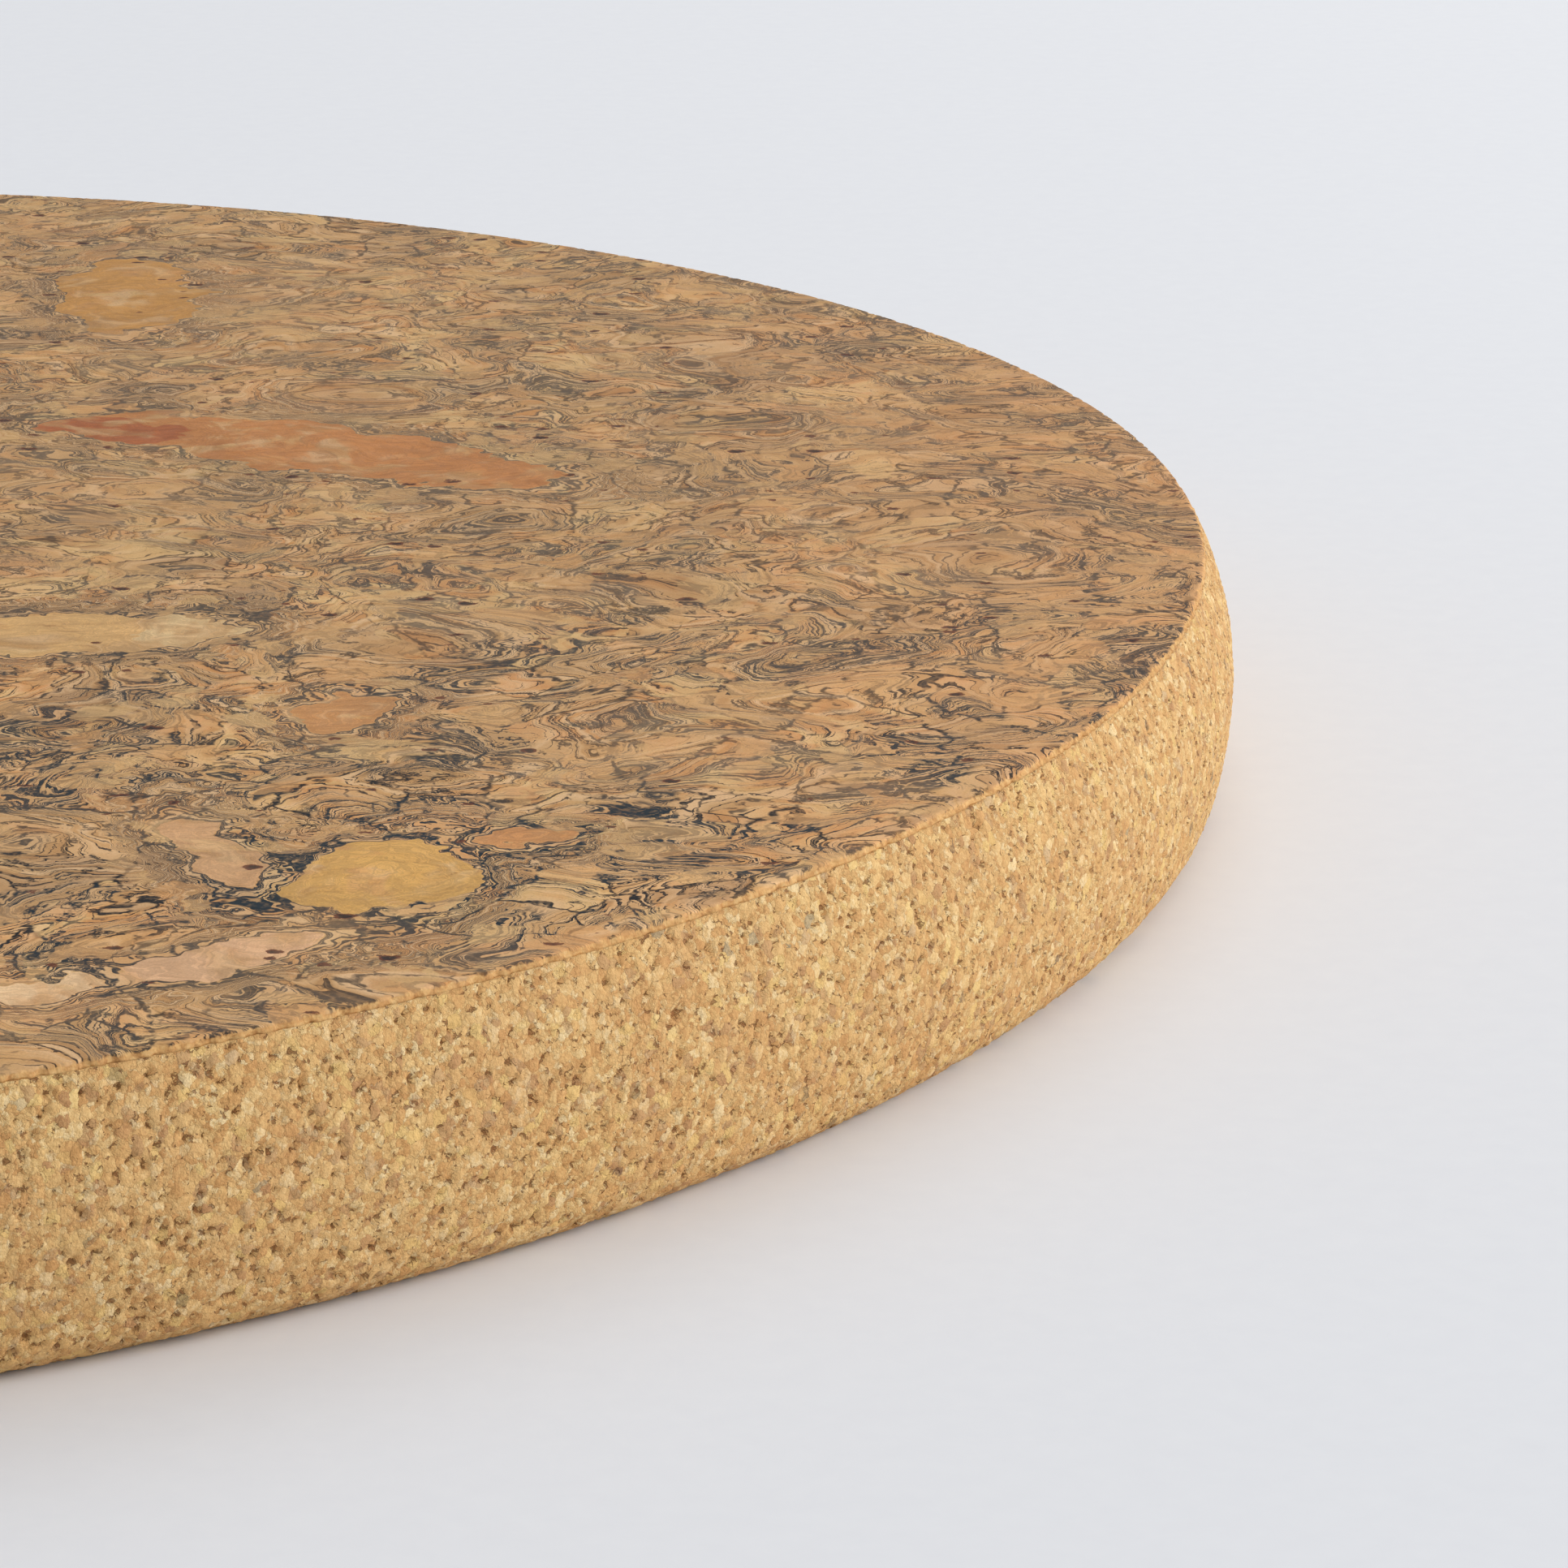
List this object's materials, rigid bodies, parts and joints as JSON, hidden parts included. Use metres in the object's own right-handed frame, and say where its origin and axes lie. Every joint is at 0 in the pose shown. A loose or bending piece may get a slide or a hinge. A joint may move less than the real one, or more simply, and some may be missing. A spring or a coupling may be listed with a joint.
{
  "type": "cork bulletin board",
  "caption": "Round frameless pin board: a thick agglomerated cork disc with a bulging edge, a marbled cork veneer face and recessed keyhole hangers in its back.",
  "frame": {"origin": "centre of the flat back, on the surface that the board lies or hangs against", "axes": "+Z from the back through the board to its face; +Y towards the top of the board as it hangs; +X to the right as seen from in front of the face"},
  "size_m": [0.3048, 0.3048, 0.0195],
  "materials": {
    "cork_veneer": "natural marbled cork veneer, sealed, semi-matt",
    "cork_agglomerate": "fine-grain agglomerated cork, sanded, matt",
    "beech": "planed beech, unfinished",
    "zinc_plated_steel": "blanked steel, bright zinc plated",
    "zinc_plated_screw": "rolled steel screw, bright zinc plated"
  },
  "bodies": {
    "root": {"face_veneer": "cork_veneer", "core_disc": "cork_agglomerate", "hanger_block_left": "beech", "keyhole_plate_left": "zinc_plated_steel", "plate_screw_left_upper": "zinc_plated_screw", "plate_screw_left_lower": "zinc_plated_screw", "hanger_block_right": "beech", "keyhole_plate_right": "zinc_plated_steel", "plate_screw_right_upper": "zinc_plated_screw", "plate_screw_right_lower": "zinc_plated_screw"}
  },
  "joints": []
}
